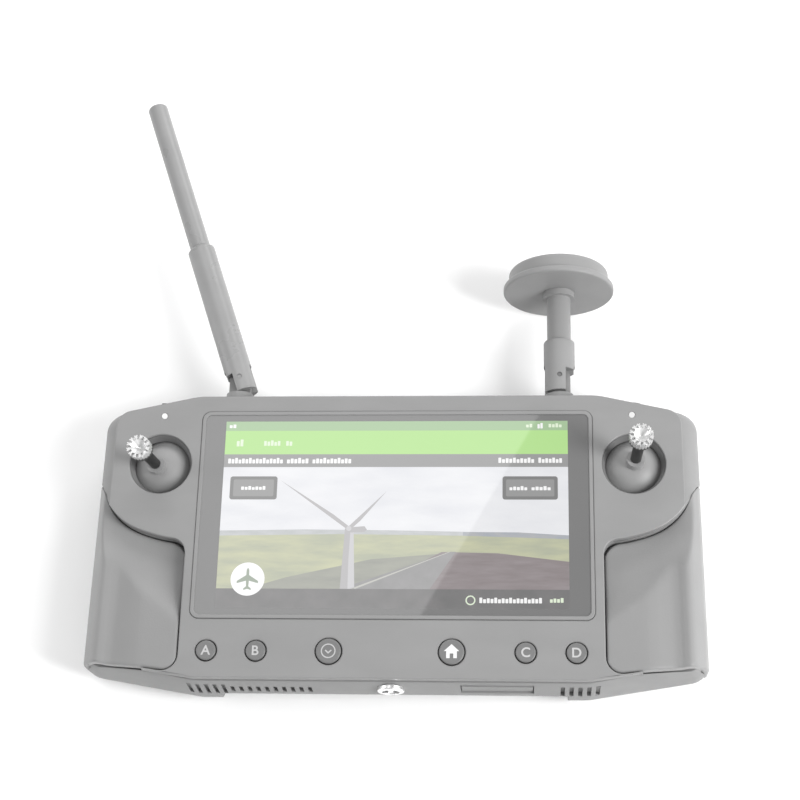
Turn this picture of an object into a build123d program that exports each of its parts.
"""Handheld radio transmitter controller with a touch screen, two thumb sticks, a folding whip
antenna and a folding disc antenna.

Frame, in millimetres: the controller lies on its back. +X is to the right as the user sees the
screen, +Y points from the strap ring to the antennas, +Z comes out of the screen. The origin is
the middle of the flat face on the back that it rests on.
"""

import os

from build123d import *

os.makedirs("parts", exist_ok=True)

# ---------------------------------------------------------------- driving dimensions
# Case
FACE_Z = 31.0  # rest face to front face
SEAM_Z = 27.5  # parting plane between the back housing and the front housing
WALL = 2.2
# Right-hand corners of the case outline at its widest, from the top middle to the bottom middle
CASE_CORNERS = [(71.0, 53.4), (106.6, 47.0), (107.6, -45.7), (67.0, -52.6)]
CORNER_RADII = [22.0, 6.0, 6.0, 16.0]
# How far the outline draws in at each height: z, at the sides, at the top and bottom
CASE_SECTIONS = [
    (0.0, 8.0, 8.0),
    (1.2, 4.5, 4.5),
    (4.0, 1.6, 1.6),
    (9.0, 0.0, 0.0),
    (18.0, 0.0, 0.0),
    (24.5, 2.9, 0.8),
    (SEAM_Z, 6.1, 1.7),
]
FRONT_DRAW = (6.4, 2.0)  # the front housing stands a little inside the seam
RELIEF_HALF = 60.0  # half width of the slope on the back between the two palm bulges

# Screen
SCREEN_Y = 7.6
GLASS = (135.4, 72.8, 1.1)
BEZEL_EDGE = 1.3  # width of the raised rim round the glass
BEZEL_PROUD = 0.3
PANEL = (126.0, 71.0, 3.0)

# Sticks
STICK_X, STICK_Y = 83.2, 25.8
PIVOT_Z = 17.0
STICK_HOLE_R = 11.0
DOME_R = 13.5
CUP = (15.0, 13.9)  # outer and inner radius of the fixed cup
CUP_DEPTH = 8.0  # pivot to the underside of the cup
YOKE = (12.0, 9.6)
CAP_R = 4.1
CAP_Z = (49.5, 54.5)
CAP_BORE = 2.2  # how far the shaft goes into the cap
SHAFT_R = 1.9
SHAFT_DROP = 4.0  # how far the shaft goes below the pivot
YOKE_PIN_R = 1.2
# Where each stick stands at rest, in degrees: about its pivot's X axis, then about its Y axis
REST_TILT = {"right": (-3.0, 2.2), "left": (3.0, -4.6)}

# Keys along the bottom of the face: name, x, radius
KEY_Y = -41.3
KEY_GAP = 0.3
KEYS = [
    ("button_a", -62.6, 3.4),
    ("button_b", -45.6, 3.4),
    ("button_back", -20.8, 4.3),
    ("button_home", 20.8, 4.3),
    ("button_c", 45.6, 3.4),
    ("button_d", 62.6, 3.4),
]
KEY_BOARD_Z = 22.0
LED_AT = (83.0, 43.8)
LED_R = 1.0

# Antennas
ANTENNA_X, ANTENNA_Z = 58.0, 20.5
WELL_Y, WELL_R = 44.5, 5.5
HINGE_Y = 61.4
JACK_R = 3.0
TONGUE = 3.6  # thickness of the swivel's tongue; the fork's slot is wider by SLOT_PLAY
SLOT_PLAY = 0.6
PIN_R = 0.9
WHIP_LEAN = 19.0  # degrees to the left of straight up
WHIP_SLEEVE = (5.1, 57.4)  # radius, length above the hinge
WHIP_ROD = (3.8, 122.5)
DISC_SLEEVE = (5.6, 14.6)
DISC_STEM_R = 4.3
DISC_PLATE = (20.2, 34.1, 2.4)  # radius, height of its underside above the hinge, thickness
DISC_COVER = (18.2, 5.9)

# Case screws, right-hand side
SCREWS = [(30.0, 46.4), (72.0, 44.0), (67.0, -20.0), (13.5, -45.6)]
BOSS_R = 3.0
BOSS_Z = 16.0  # where the front housing's bosses stand on the back housing's
SCREW_SEAT_Z = 12.0
SCREW_R = 1.0
SCREW_HEAD_R = 2.3

# Grips
GRIP_FLOOR_Z = 24.0
GRIP_LOW_Z = 9.0
GRIP_SIDE_X = 104.3  # inner face of the part that wraps round the side of the case
# The S-shaped ledge above the grip, from outside the case to the grip's inner side
LEDGE = [(112.0, 28.0), (104.6, 18.5), (99.6, 9.4), (92.5, 3.2), (82.0, -0.6), (72.3, -2.2)]
GRIP_FOOT = [(72.3, -48.8), (112.0, -44.4)]
GRIP_CORNER_R = 5.5

# Bottom edge
STRAP_Z = 22.2
STRAP_RING = (4.6, 4.0, 3.0)  # radius of the flange, of the cup behind it and of the opening
STRAP_Y = (-53.3, -51.7, -45.6)  # front of the flange, back of the flange, back of the cup
STRAP_BAR = 1.7  # width of the bar across the opening
PORT_AT = (36.0, -50.6, 22.3)
FLAP = (24.0, 1.3, 6.4)
VENT_PITCH = 2.95
# x of the first slot, number of slots, z of their middle, height
VENTS = [(-69.0, 5, 20.5, 9.0), (-54.25, 10, 21.0, 5.0), (58.0, 5, 20.5, 9.0)]

# Top edge controls
EDGE_Z = 16.0
POWER_X, SHUTTER_X, WHEEL_X = 20.0, 84.0, -84.0
POWER_R, SHUTTER_R = 3.0, 4.3
WHEEL_Y = 48.2
WHEEL = (6.0, 6.0)  # radius, width

# Inside
FAN_AT, FAN_R = (-46.0, -22.0), 11.0
BATTERY = (108.0, 50.0, 11.0)
BOARD = (122.0, 72.0, 1.6)
BOARD_Z = 17.0

UP_Y = (-90, 0, 0)  # turns a cylinder's axis from +Z to +Y
ALONG_X = (0, 90, 0)
STAND = (Align.CENTER, Align.CENTER, Align.MIN)
HANG = (Align.CENTER, Align.CENTER, Align.MAX)


# ---------------------------------------------------------------- shared shapes
def save(piece, name):
    """Label a finished piece and write it as one STEP file."""
    piece.label = name
    export_step(piece, f"parts/{name}.step")


def save_pair(piece, name):
    """Write the right-hand piece and its mirror image."""
    save(piece, f"right_{name}")
    save(mirror(piece, about=Plane.YZ), f"left_{name}")


def both(points):
    """Right-hand points and their mirror images."""
    return [(side * x, y) for x, y in points for side in (1, -1)]


def save_sticks(piece, name, hinges):
    """Write a stick's piece and its mirror image, each tilted as its own stick is at rest.

    A piece on the first hinge only follows the tilt about X; one on both follows both.
    """
    for side, place in (("right", piece), ("left", mirror(piece, about=Plane.YZ))):
        about_x, about_y = REST_TILT[side]
        pivot = Location((STICK_X if side == "right" else -STICK_X, STICK_Y, PIVOT_Z))
        tilt = Location((0, 0, 0), (about_x, about_y if hinges == 2 else 0, 0))
        save(place.moved(pivot * tilt * pivot.inverse()), f"{side}_{name}")


def outline(z, draw_sides, draw_ends):
    """The case outline at height z, drawn in at its sides and at its top and bottom."""
    right = []
    for x, y in CASE_CORNERS:
        inner_x = x - (draw_sides if x > 100 else 0)
        inner_y = y - draw_ends if y > 0 else y + draw_ends
        right.append((inner_x, inner_y))
    left = [(-x, y) for x, y in reversed(right)]
    with BuildSketch(Plane.XY.offset(z)) as sketch:
        with BuildLine():
            Polyline(*right, *left, close=True)
        make_face()
        for (x, y), radius in zip(right, CORNER_RADII):
            fillet(sketch.vertices().sort_by_distance((x, y, z))[0], radius)
            fillet(sketch.vertices().sort_by_distance((-x, y, z))[0], radius)
    return sketch.sketch


def grip_outline(z, grow=0.0):
    """The right grip seen from the front: the ledge above, a straight inner side, the foot below.

    Growing it moves all three away from the grip.
    """
    edge_x = LEDGE[-1][0] - grow
    foot = [(edge_x, GRIP_FOOT[0][1] - grow), (GRIP_FOOT[1][0], GRIP_FOOT[1][1] - grow)]
    with BuildSketch(Plane.XY.offset(z)) as sketch:
        with BuildLine():
            points = [(x - 0.6 * grow, y + 0.8 * grow) for x, y in LEDGE[1:-1]]
            ledge = Spline(
                (LEDGE[0][0], LEDGE[0][1] + grow),
                *points,
                (edge_x, LEDGE[-1][1] + grow),
            )
            Polyline(ledge @ 1, *foot, ledge @ 0)
        make_face()
        for y in (LEDGE[-1][1] + grow, foot[0][1]):
            fillet(sketch.vertices().sort_by_distance((edge_x, y, z))[0], GRIP_CORNER_R)
    return sketch.sketch


def relief(inward, half):
    """Wedge that slopes the back up to the bottom edge; inward moves it towards the inside."""
    low, high = (-40.0, 0.0), (-56.8, 21.0)
    shift_y, shift_z = 0.78 * inward, 0.62 * inward
    with BuildPart() as wedge:
        with BuildSketch(Plane.YZ):
            with BuildLine():
                Polyline(
                    (high[0] + shift_y, high[1] + shift_z),
                    (low[0] + shift_y, low[1] + shift_z),
                    (low[0] + shift_y, -5.0),
                    (-70.0, -5.0),
                    (-70.0, high[1] + shift_z),
                    close=True,
                )
            make_face()
        extrude(amount=half, both=True)
    return wedge.part


with BuildPart() as grip_space:
    add(grip_outline(GRIP_FLOOR_Z))
    extrude(amount=FACE_Z)
    with BuildSketch(Plane.XY.offset(GRIP_LOW_Z)):
        add(grip_outline(0))
        with Locations((GRIP_SIDE_X, 0)):
            Rectangle(200, 200, align=(Align.MAX, Align.CENTER), mode=Mode.SUBTRACT)
    extrude(amount=FACE_Z)
GRIP_SPACES = [grip_space.part, mirror(grip_space.part, about=Plane.YZ)]

with BuildPart() as back_form:
    for height, draw_sides, draw_ends in CASE_SECTIONS:
        add(outline(height, draw_sides, draw_ends))
    loft()
    add(relief(0.0, RELIEF_HALF), mode=Mode.SUBTRACT)

with BuildPart() as front_form:
    add(outline(SEAM_Z, *FRONT_DRAW))
    extrude(amount=FACE_Z - SEAM_Z)
    fillet(front_form.faces().sort_by(Axis.Z)[-1].edges(), 1.2)


# ---------------------------------------------------------------- strap ring
def strap_plug():
    """Outer shape of the strap ring: a flange outside the wall and a cup through it."""
    front_y, flange_y, back_y = STRAP_Y
    with BuildPart() as plug:
        with Locations((0, front_y, STRAP_Z)):
            Cylinder(STRAP_RING[0], flange_y - front_y, rotation=UP_Y, align=STAND)
            fillet(plug.edges().sort_by(Axis.Y)[0], 0.6)
            Cylinder(STRAP_RING[1], back_y - front_y, rotation=UP_Y, align=STAND)
    return plug.part


with BuildPart() as strap_ring:
    front_y = STRAP_Y[0]
    add(strap_plug())
    with Locations((0, front_y, STRAP_Z)):
        Cylinder(STRAP_RING[2], 6.5, rotation=UP_Y, align=STAND, mode=Mode.SUBTRACT)
    # The strap's hook goes round this bar
    with Locations((0, front_y + 1.2, STRAP_Z)):
        Box(STRAP_BAR, 1.8, 2 * STRAP_RING[2] + 0.4)
save(strap_ring.part, "strap_ring")


# ---------------------------------------------------------------- housings
with BuildPart() as cavity:
    sides, ends = CASE_SECTIONS[-1][1] + WALL, CASE_SECTIONS[-1][2] + WALL
    add(outline(WALL, sides + 6.0, ends + 8.0))
    add(outline(9.0, sides, ends))
    add(outline(SEAM_Z + 1.0, sides, ends))
    loft(ruled=True)
    add(relief(WALL, RELIEF_HALF + WALL), mode=Mode.SUBTRACT)
    with Locations(*both(SCREWS)):
        Cylinder(BOSS_R, BOSS_Z, align=STAND, mode=Mode.SUBTRACT)
    # The shelf under each grip
    with BuildSketch(Plane.XY.offset(GRIP_FLOOR_Z - WALL)):
        add(grip_outline(0, WALL))
        mirror(about=Plane.YZ)
    extrude(amount=10, mode=Mode.SUBTRACT)
    with Locations(*[(x, WELL_Y - 1.2, ANTENNA_Z) for x in (-ANTENNA_X, ANTENNA_X)]):
        Cylinder(WELL_R + 1.5, 12, rotation=UP_Y, align=STAND, mode=Mode.SUBTRACT)

with BuildPart() as back_housing:
    add(back_form.part)
    add(cavity.part, mode=Mode.SUBTRACT)
    with Locations(*both(SCREWS)):
        Cylinder(SCREW_HEAD_R + 0.2, 2 * SCREW_SEAT_Z, mode=Mode.SUBTRACT)
        Cylinder(SCREW_R + 0.35, 50, mode=Mode.SUBTRACT)
    # Wells for the antenna connectors
    with Locations(*[(x, WELL_Y, ANTENNA_Z) for x in (-ANTENNA_X, ANTENNA_X)]):
        Cylinder(WELL_R, 14, rotation=UP_Y, align=STAND, mode=Mode.SUBTRACT)
        Cylinder(JACK_R, 8, rotation=UP_Y, mode=Mode.SUBTRACT)
    for first_x, count, middle_z, height in VENTS:
        with Locations(*[(first_x + VENT_PITCH * i, -51.0, middle_z) for i in range(count)]):
            Box(1.4, 9.0, height, mode=Mode.SUBTRACT)
    # Intake grille under the fan
    with Locations((*FAN_AT, 0)):
        for reach, count in ((3.0, 5), (6.0, 9), (9.0, 14)):
            with PolarLocations(reach, count):
                Cylinder(0.9, 8.0, mode=Mode.SUBTRACT)
    # Recess for the port flap, the port's hole and the strap ring's hole
    with Locations(PORT_AT):
        Box(
            FLAP[0] + 0.6,
            8,
            FLAP[2] + 0.6,
            align=(Align.CENTER, Align.MAX, Align.CENTER),
            mode=Mode.SUBTRACT,
        )
        Box(9.2, 8.0, 3.4, mode=Mode.SUBTRACT)
    add(strap_plug(), mode=Mode.SUBTRACT)
    # Holes for the power button and the shutter button, and the scroll wheel's slot
    with Locations((POWER_X, 49.0, EDGE_Z)):
        Cylinder(POWER_R + 0.3, 14, rotation=UP_Y, mode=Mode.SUBTRACT)
    with Locations((SHUTTER_X, 48.0, EDGE_Z)):
        Cylinder(SHUTTER_R + 0.3, 14, rotation=UP_Y, mode=Mode.SUBTRACT)
    with Locations((WHEEL_X, WHEEL_Y, EDGE_Z)):
        Box(WHEEL[1] + 0.8, 14.0, 2 * WHEEL[0] + 0.8, mode=Mode.SUBTRACT)
        Cylinder(1.3, 10.6, rotation=ALONG_X, mode=Mode.SUBTRACT)
    for space in GRIP_SPACES:
        add(space, mode=Mode.SUBTRACT)
save(back_housing.part, "back_housing")

with BuildPart() as front_housing:
    add(front_form.part)
    with BuildSketch(Plane.XY.offset(SEAM_Z)):
        add(outline(0, *FRONT_DRAW))
        offset(amount=-WALL)
    extrude(amount=FACE_Z - SEAM_Z - WALL, mode=Mode.SUBTRACT)
    with Locations(*[(x, y, BOSS_Z) for x, y in both(SCREWS)]):
        Cylinder(BOSS_R, FACE_Z - WALL / 2 - BOSS_Z, align=STAND)
        Cylinder(SCREW_R + 0.05, 11.0, align=STAND, mode=Mode.SUBTRACT)
    with Locations((0, SCREEN_Y, FACE_Z)):
        Box(
            GLASS[0] + 2 * BEZEL_EDGE,
            GLASS[1] + 2 * BEZEL_EDGE,
            2 * GLASS[2],
            mode=Mode.SUBTRACT,
        )
        Box(PANEL[0] + 0.4, PANEL[1] + 0.4, 30, mode=Mode.SUBTRACT)
    with Locations(*[(x, STICK_Y, FACE_Z) for x in (-STICK_X, STICK_X)]):
        Cylinder(STICK_HOLE_R, 12, mode=Mode.SUBTRACT)
        Cone(STICK_HOLE_R - 1.2, STICK_HOLE_R + 1.2, 2.4, mode=Mode.SUBTRACT)
    for name, x, radius in KEYS:
        with Locations((x, KEY_Y, FACE_Z)):
            Cylinder(radius + KEY_GAP, 12, mode=Mode.SUBTRACT)
    with Locations(*[(x, y, FACE_Z) for x, y in both([LED_AT])]):
        Cylinder(LED_R, 12, mode=Mode.SUBTRACT)
    for space in GRIP_SPACES:
        add(space, mode=Mode.SUBTRACT)
save(front_housing.part, "front_housing")

# ---------------------------------------------------------------- grips
with BuildPart() as grip:
    add(back_form.part)
    with BuildPart(mode=Mode.PRIVATE) as upper_form:
        add(outline(SEAM_Z, *FRONT_DRAW))
        extrude(amount=FACE_Z - SEAM_Z - 0.3)
        fillet(upper_form.faces().sort_by(Axis.Z)[-1].edges(), 2.4)
    add(upper_form.part)
    add(grip_space.part, mode=Mode.INTERSECT)
    # The thumb's hollow runs under the ledge and out through the side
    with Locations(Location((92.7, 3.0, 54.2), (0, 90, 36.6))):
        Cylinder(28.0, 80.0, mode=Mode.SUBTRACT)
save_pair(grip.part, "grip")

# ---------------------------------------------------------------- screen
with BuildPart() as screen_bezel:
    with BuildSketch(Plane.XY.offset(FACE_Z - GLASS[2])):
        with Locations((0, SCREEN_Y)):
            Rectangle(GLASS[0] + 2 * BEZEL_EDGE, GLASS[1] + 2 * BEZEL_EDGE)
            Rectangle(GLASS[0], GLASS[1], mode=Mode.SUBTRACT)
    extrude(amount=GLASS[2] + BEZEL_PROUD)
save(screen_bezel.part, "screen_bezel")

with BuildPart() as screen_glass:
    with Locations((0, SCREEN_Y, FACE_Z)):
        Box(*GLASS, align=HANG)
save(screen_glass.part, "screen_glass")

with BuildPart() as display_panel:
    with Locations((0, SCREEN_Y, FACE_Z - GLASS[2])):
        Box(*PANEL, align=HANG)
save(display_panel.part, "display_panel")

# ---------------------------------------------------------------- keys
for name, x, radius in KEYS:
    with BuildPart() as key:
        with Locations((x, KEY_Y, FACE_Z - 3.4)):
            Cylinder(radius, 4.0, align=STAND)
        chamfer(key.edges().sort_by(Axis.Z)[-1], 0.5)
        with Locations((x, KEY_Y, FACE_Z - 3.4)):
            Cylinder(radius + 1.0, 0.8, align=HANG)
            Cylinder(1.2, 1.9, align=HANG)
    save(key.part, name)

with BuildPart() as key_board:
    with Locations((0, KEY_Y + 2.7, KEY_BOARD_Z)):
        Box(134, 7.6, 1.2, align=STAND)
    for name, x, radius in KEYS:
        with Locations((x, KEY_Y, KEY_BOARD_Z + 1.2)):
            Box(4.4, 4.4, 1.7, align=STAND)
save(key_board.part, "key_board")

with BuildPart() as led_pipes:
    with Locations(*[(x, y, SEAM_Z - 1.0) for x, y in both([LED_AT])]):
        Cylinder(LED_R, FACE_Z - SEAM_Z + 1.15, align=STAND)
save(led_pipes.part, "led_pipes")

# ---------------------------------------------------------------- sticks
STICK = Location((STICK_X, STICK_Y, PIVOT_Z))

with BuildPart() as stick_cup:
    with Locations(STICK):
        with Locations((0, 0, -CUP_DEPTH)):
            Cylinder(CUP[0], CUP_DEPTH + 8.5, align=STAND)
        with Locations((0, 0, 1.2 - CUP_DEPTH)):
            Cylinder(CUP[1], 25, align=STAND, mode=Mode.SUBTRACT)
        Cylinder(YOKE_PIN_R + 0.1, 40, rotation=ALONG_X, mode=Mode.SUBTRACT)
save_pair(stick_cup.part, "stick_cup")

with BuildPart() as stick_yoke:
    with Locations(STICK):
        Cylinder(YOKE[0], 4.4)
        Cylinder(YOKE_PIN_R, 29.2, rotation=ALONG_X)
        Cylinder(YOKE[1], 10, mode=Mode.SUBTRACT)
        Cylinder(YOKE_PIN_R, 40, rotation=UP_Y, mode=Mode.SUBTRACT)
save_sticks(stick_yoke.part, "stick_yoke", 1)

with BuildPart() as stick_pivot:
    with Locations(STICK):
        Cylinder(3.6, 8.0)
        Cylinder(1.1, 23.4, rotation=UP_Y)
        Cylinder(SHAFT_R, 20, mode=Mode.SUBTRACT)
save_sticks(stick_pivot.part, "stick_pivot", 2)

with BuildPart() as stick_shaft:
    with Locations((STICK_X, STICK_Y, PIVOT_Z - SHAFT_DROP)):
        Cylinder(SHAFT_R, CAP_Z[0] + CAP_BORE - PIVOT_Z + SHAFT_DROP, align=STAND)
save_sticks(stick_shaft.part, "stick_shaft", 2)

with BuildPart() as stick_dome:
    with Locations(STICK):
        Sphere(DOME_R)
        Sphere(DOME_R - 1.1, mode=Mode.SUBTRACT)
    split(bisect_by=Plane.XY.offset(PIVOT_Z + 7.2))
    with Locations(STICK):
        Cylinder(3.2, 16.4, align=STAND)
        Cylinder(4.6, 7.2, align=STAND, mode=Mode.SUBTRACT)
        Cylinder(SHAFT_R, 30, align=STAND, mode=Mode.SUBTRACT)
save_sticks(stick_dome.part, "stick_dome", 2)

with BuildPart() as stick_cap:
    with Locations((STICK_X, STICK_Y, CAP_Z[0])):
        Cylinder(CAP_R, CAP_Z[1] - CAP_Z[0], align=STAND)
    chamfer(stick_cap.edges().group_by(Axis.Z)[0], 0.7)
    with Locations((STICK_X, STICK_Y, CAP_Z[1])):
        Cone(0.5, 2.9, 2.2, align=HANG, mode=Mode.SUBTRACT)
        with PolarLocations(CAP_R, 12):
            Box(3.0, 0.9, 2.4, mode=Mode.SUBTRACT)
    with Locations((STICK_X, STICK_Y, CAP_Z[0])):
        Cylinder(SHAFT_R, CAP_BORE, align=STAND, mode=Mode.SUBTRACT)
        with PolarLocations(CAP_R + 0.25, 24):
            Box(0.9, 0.45, 11.0, align=STAND, mode=Mode.SUBTRACT)
save_sticks(stick_cap.part, "stick_cap", 2)


# ---------------------------------------------------------------- antennas
def swivel(x, radius):
    """Turning base of an antenna: a barrel over the jack and a tongue for the fork."""
    with BuildPart() as base:
        with Locations((x, WELL_Y + 2.0, ANTENNA_Z)):
            shoulder = HINGE_Y - radius - 0.6
            Cylinder(5.0, shoulder - WELL_Y - 2.0, rotation=UP_Y, align=STAND)
            Cylinder(JACK_R + 0.3, 7.0, rotation=UP_Y, align=STAND, mode=Mode.SUBTRACT)
        with BuildSketch(Plane.XY.offset(ANTENNA_Z - TONGUE / 2)):
            with Locations((x, HINGE_Y)):
                Circle(3.9)
                Rectangle(7.8, radius + 1.0, align=(Align.CENTER, Align.MAX))
        extrude(amount=TONGUE)
        with Locations((x, HINGE_Y, ANTENNA_Z)):
            Cylinder(PIN_R + 0.05, 30, mode=Mode.SUBTRACT)
    return base.part


def sleeve(x, radius, length, fold_side, opening):
    """Plastic sleeve of an antenna, straight up, with a forked end round the hinge.

    The fork is cut away on the side it folds to, up to the opening's height above the hinge.
    """
    with BuildPart() as tube:
        with Locations((x, HINGE_Y, ANTENNA_Z)):
            with Locations((0, -radius, 0)):
                Cylinder(radius, length + radius, rotation=UP_Y, align=STAND)
            Box(4 * radius, 9.0, TONGUE + SLOT_PLAY, mode=Mode.SUBTRACT)
            with Locations((0, -radius, 0)):
                Box(4 * radius, 2 * radius, TONGUE + SLOT_PLAY, mode=Mode.SUBTRACT)
            with Locations((fold_side * 2.2, opening, 0)):
                Box(
                    2 * radius,
                    4 * radius,
                    4 * radius,
                    align=(Align.MIN if fold_side > 0 else Align.MAX, Align.MAX, Align.CENTER),
                    mode=Mode.SUBTRACT,
                )
            Cylinder(PIN_R, 30, mode=Mode.SUBTRACT)
    return tube.part


def hinge_pin(x, radius):
    """Plain pin through the fork and the tongue, its ends just inside the fork."""
    with BuildPart() as pin:
        with Locations((x, HINGE_Y, ANTENNA_Z)):
            Cylinder(PIN_R, 2 * radius - 0.6)
    return pin.part


def jack(x):
    """Coaxial jack standing in its well, with a flange inside the case."""
    with BuildPart() as body:
        with Locations((x, WELL_Y - 4.0, ANTENNA_Z)):
            Cylinder(JACK_R, 12.0, rotation=UP_Y, align=STAND)
            Cylinder(4.2, 2.0, rotation=UP_Y, align=STAND)
    return body.part


def lean(piece):
    """Turn a whip piece about its hinge to the angle it is left at."""
    return piece.rotate(Axis((-ANTENNA_X, HINGE_Y, ANTENNA_Z), (0, 0, 1)), WHIP_LEAN)


save(jack(-ANTENNA_X), "whip_jack")
save(swivel(-ANTENNA_X, WHIP_SLEEVE[0]), "whip_swivel")
with BuildPart() as whip_sleeve:
    add(sleeve(-ANTENNA_X, *WHIP_SLEEVE, -1, 2.2))
    chamfer(whip_sleeve.edges().group_by(Axis.Y)[-1], 1.3)
    with Locations((-ANTENNA_X, HINGE_Y + WHIP_SLEEVE[1] - 12.0, ANTENNA_Z)):
        Cylinder(WHIP_ROD[0], 20, rotation=UP_Y, align=STAND, mode=Mode.SUBTRACT)
save(lean(whip_sleeve.part), "whip_sleeve")
with BuildPart() as whip_rod:
    with Locations((-ANTENNA_X, HINGE_Y + WHIP_SLEEVE[1] - 12.0, ANTENNA_Z)):
        Cylinder(
            WHIP_ROD[0], WHIP_ROD[1] - WHIP_SLEEVE[1] + 12.0, rotation=UP_Y, align=STAND
        )
    fillet(whip_rod.edges().group_by(Axis.Y)[-1], 1.2)
save(lean(whip_rod.part), "whip_rod")
save(hinge_pin(-ANTENNA_X, WHIP_SLEEVE[0]), "whip_pin")

save(jack(ANTENNA_X), "disc_jack")
save(swivel(ANTENNA_X, DISC_SLEEVE[0]), "disc_swivel")
with BuildPart() as disc_sleeve:
    add(sleeve(ANTENNA_X, *DISC_SLEEVE, 1, 3.0))
    fillet(disc_sleeve.edges().group_by(Axis.Y)[-1], 0.8)
    with Locations((ANTENNA_X, HINGE_Y + DISC_SLEEVE[1], ANTENNA_Z)):
        Cylinder(
            DISC_STEM_R, DISC_PLATE[1] - DISC_SLEEVE[1], rotation=UP_Y, align=STAND
        )
    with Locations((ANTENNA_X, HINGE_Y + DISC_PLATE[1], ANTENNA_Z)):
        Cylinder(
            DISC_STEM_R + 1.5,
            2.2,
            rotation=UP_Y,
            align=HANG,
        )
save(disc_sleeve.part, "disc_sleeve")
with BuildPart() as disc_plate:
    with Locations((ANTENNA_X, HINGE_Y + DISC_PLATE[1], ANTENNA_Z)):
        Cylinder(DISC_PLATE[0], DISC_PLATE[2], rotation=UP_Y, align=STAND)
    fillet(disc_plate.edges(), 0.7)
save(disc_plate.part, "disc_plate")
with BuildPart() as disc_cover:
    with Locations((ANTENNA_X, HINGE_Y + DISC_PLATE[1] + DISC_PLATE[2], ANTENNA_Z)):
        Cylinder(DISC_COVER[0], DISC_COVER[1], rotation=UP_Y, align=STAND)
    fillet(disc_cover.edges().group_by(Axis.Y)[-1], 1.5)
save(disc_cover.part, "disc_cover")
save(hinge_pin(ANTENNA_X, DISC_SLEEVE[0]), "disc_pin")

# ---------------------------------------------------------------- edge controls
with BuildPart() as power_button:
    with Locations((POWER_X, 46.0, EDGE_Z)):
        Cylinder(POWER_R, 8.2, rotation=UP_Y, align=STAND)
    fillet(power_button.edges().group_by(Axis.Y)[-1], 0.5)
save(power_button.part, "power_button")

with BuildPart() as shutter_button:
    with Locations((SHUTTER_X, 45.5, EDGE_Z)):
        Cylinder(SHUTTER_R, 7.5, rotation=UP_Y, align=STAND)
    fillet(shutter_button.edges().group_by(Axis.Y)[-1], 0.8)
save(shutter_button.part, "shutter_button")

with BuildPart() as scroll_wheel:
    with Locations((WHEEL_X, WHEEL_Y, EDGE_Z)):
        Cylinder(WHEEL[0], WHEEL[1], rotation=ALONG_X)
        Cylinder(1.0, 10.2, rotation=ALONG_X)
    for step in range(20):
        turn = Rot(360 / 20 * step, 0, 0) * Pos(0, WHEEL[0] + 0.1, 0)
        with Locations(Pos(WHEEL_X, WHEEL_Y, EDGE_Z) * turn):
            Box(WHEEL[1] + 1, 0.9, 0.9, mode=Mode.SUBTRACT)
save(scroll_wheel.part, "scroll_wheel")

with BuildPart() as edge_switches:
    with Locations((POWER_X, 45.2, EDGE_Z), (SHUTTER_X, 44.8, EDGE_Z)):
        Box(4.4, 2.6, 4.4, align=(Align.CENTER, Align.MAX, Align.CENTER))
        with Locations((0, -2.6, 0)):
            Box(7.0, 0.8, 7.0, align=(Align.CENTER, Align.MAX, Align.CENTER))
save(edge_switches.part, "edge_switches")

with BuildPart() as port_socket:
    with Locations(PORT_AT):
        Box(9.0, 7.6, 3.2, align=(Align.CENTER, Align.MIN, Align.CENTER))
        Box(8.2, 2 * 6.0, 2.4, mode=Mode.SUBTRACT)
        with Locations((0, 1.0, 0)):
            Box(6.6, 6.0, 0.7, align=(Align.CENTER, Align.MIN, Align.CENTER))
save(port_socket.part, "port_socket")

with BuildPart() as port_flap:
    with Locations(PORT_AT):
        Box(FLAP[0], FLAP[1], FLAP[2], align=(Align.CENTER, Align.MAX, Align.CENTER))
save(port_flap.part, "port_flap")

# ---------------------------------------------------------------- inside
with BuildPart() as battery:
    with Locations((0, 16.0, 3.0)):
        Box(*BATTERY, align=STAND)
    fillet(battery.edges().filter_by(Axis.Z), 3.0)
save(battery.part, "battery")

with BuildPart() as main_board:
    with Locations((0, 4.0, BOARD_Z)):
        Box(*BOARD, align=STAND)
save(main_board.part, "main_board")

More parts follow.
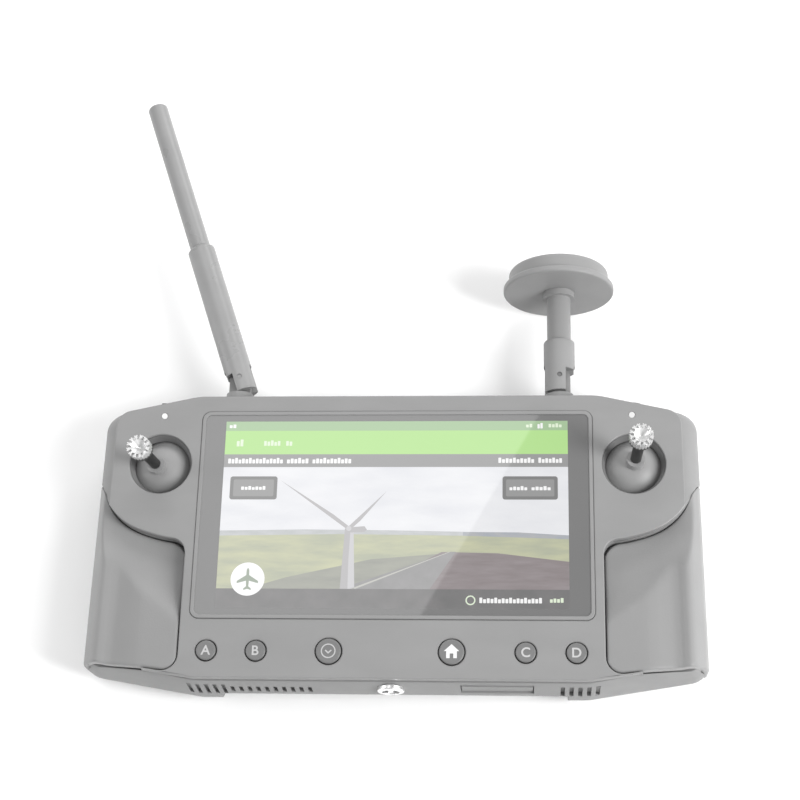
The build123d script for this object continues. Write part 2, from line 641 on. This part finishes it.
with BuildPart() as shield_can:
    with Locations((28.0, 14.0, BOARD_Z + BOARD[2])):
        Box(44.0, 32.0, 2.6, align=STAND)
save(shield_can.part, "shield_can")

with BuildPart() as heat_sink:
    with Locations((-24.0, 4.0, BOARD_Z + BOARD[2])):
        Box(44.0, 40.0, 1.6, align=STAND)
        for i in range(11):
            with Locations((-20.0 + 4.0 * i, 0, 1.6)):
                Box(1.0, 38.0, 4.4, align=STAND)
save(heat_sink.part, "heat_sink")

with BuildPart() as fan_frame:
    with Locations((*FAN_AT, WALL + 0.8)):
        Cylinder(FAN_R + 1.6, 6.4, align=STAND)
        Cylinder(FAN_R, 20, mode=Mode.SUBTRACT)
        with Locations((0, 0, 5.2)):
            Box(2 * FAN_R + 2, 3.0, 1.2, align=STAND)
            Cylinder(3.2, 1.2, align=STAND)
save(fan_frame.part, "fan_frame")

with BuildPart() as fan_rotor:
    with Locations((*FAN_AT, WALL + 1.2)):
        Cylinder(3.8, 4.4, align=STAND)
        for step in range(9):
            with Locations(Rot(0, 0, 40 * step) * Pos(6.6, 0, 2.2) * Rot(28, 0, 0)):
                Box(6.6, 0.7, 3.6)
save(fan_rotor.part, "fan_rotor")

with BuildPart() as speaker:
    with Locations((60.0, -36.0, 6.0)):
        Box(17.0, 11.0, 5.0, align=STAND)
save(speaker.part, "speaker")

with BuildPart() as case_screws:
    with Locations(*[(x, y, SCREW_SEAT_Z) for x, y in both(SCREWS)]):
        Cylinder(SCREW_HEAD_R, 1.8, align=HANG)
        Cylinder(SCREW_R, 11.0, align=STAND)
save(case_screws.part, "case_screws")

with BuildPart() as antenna_cables:
    for x in (-ANTENNA_X, ANTENNA_X):
        inward = 1 if x < 0 else -1
        with BuildLine():
            route = FilletPolyline(
                (x, WELL_Y - 4.0, ANTENNA_Z),
                (x, 32.0, ANTENNA_Z),
                (x + inward * 12.0, 32.0, ANTENNA_Z),
                radius=5.0,
            )
        with BuildSketch(Plane(origin=route @ 0, z_dir=route % 0)):
            Circle(0.9)
        sweep()
save(antenna_cables.part, "antenna_cables")
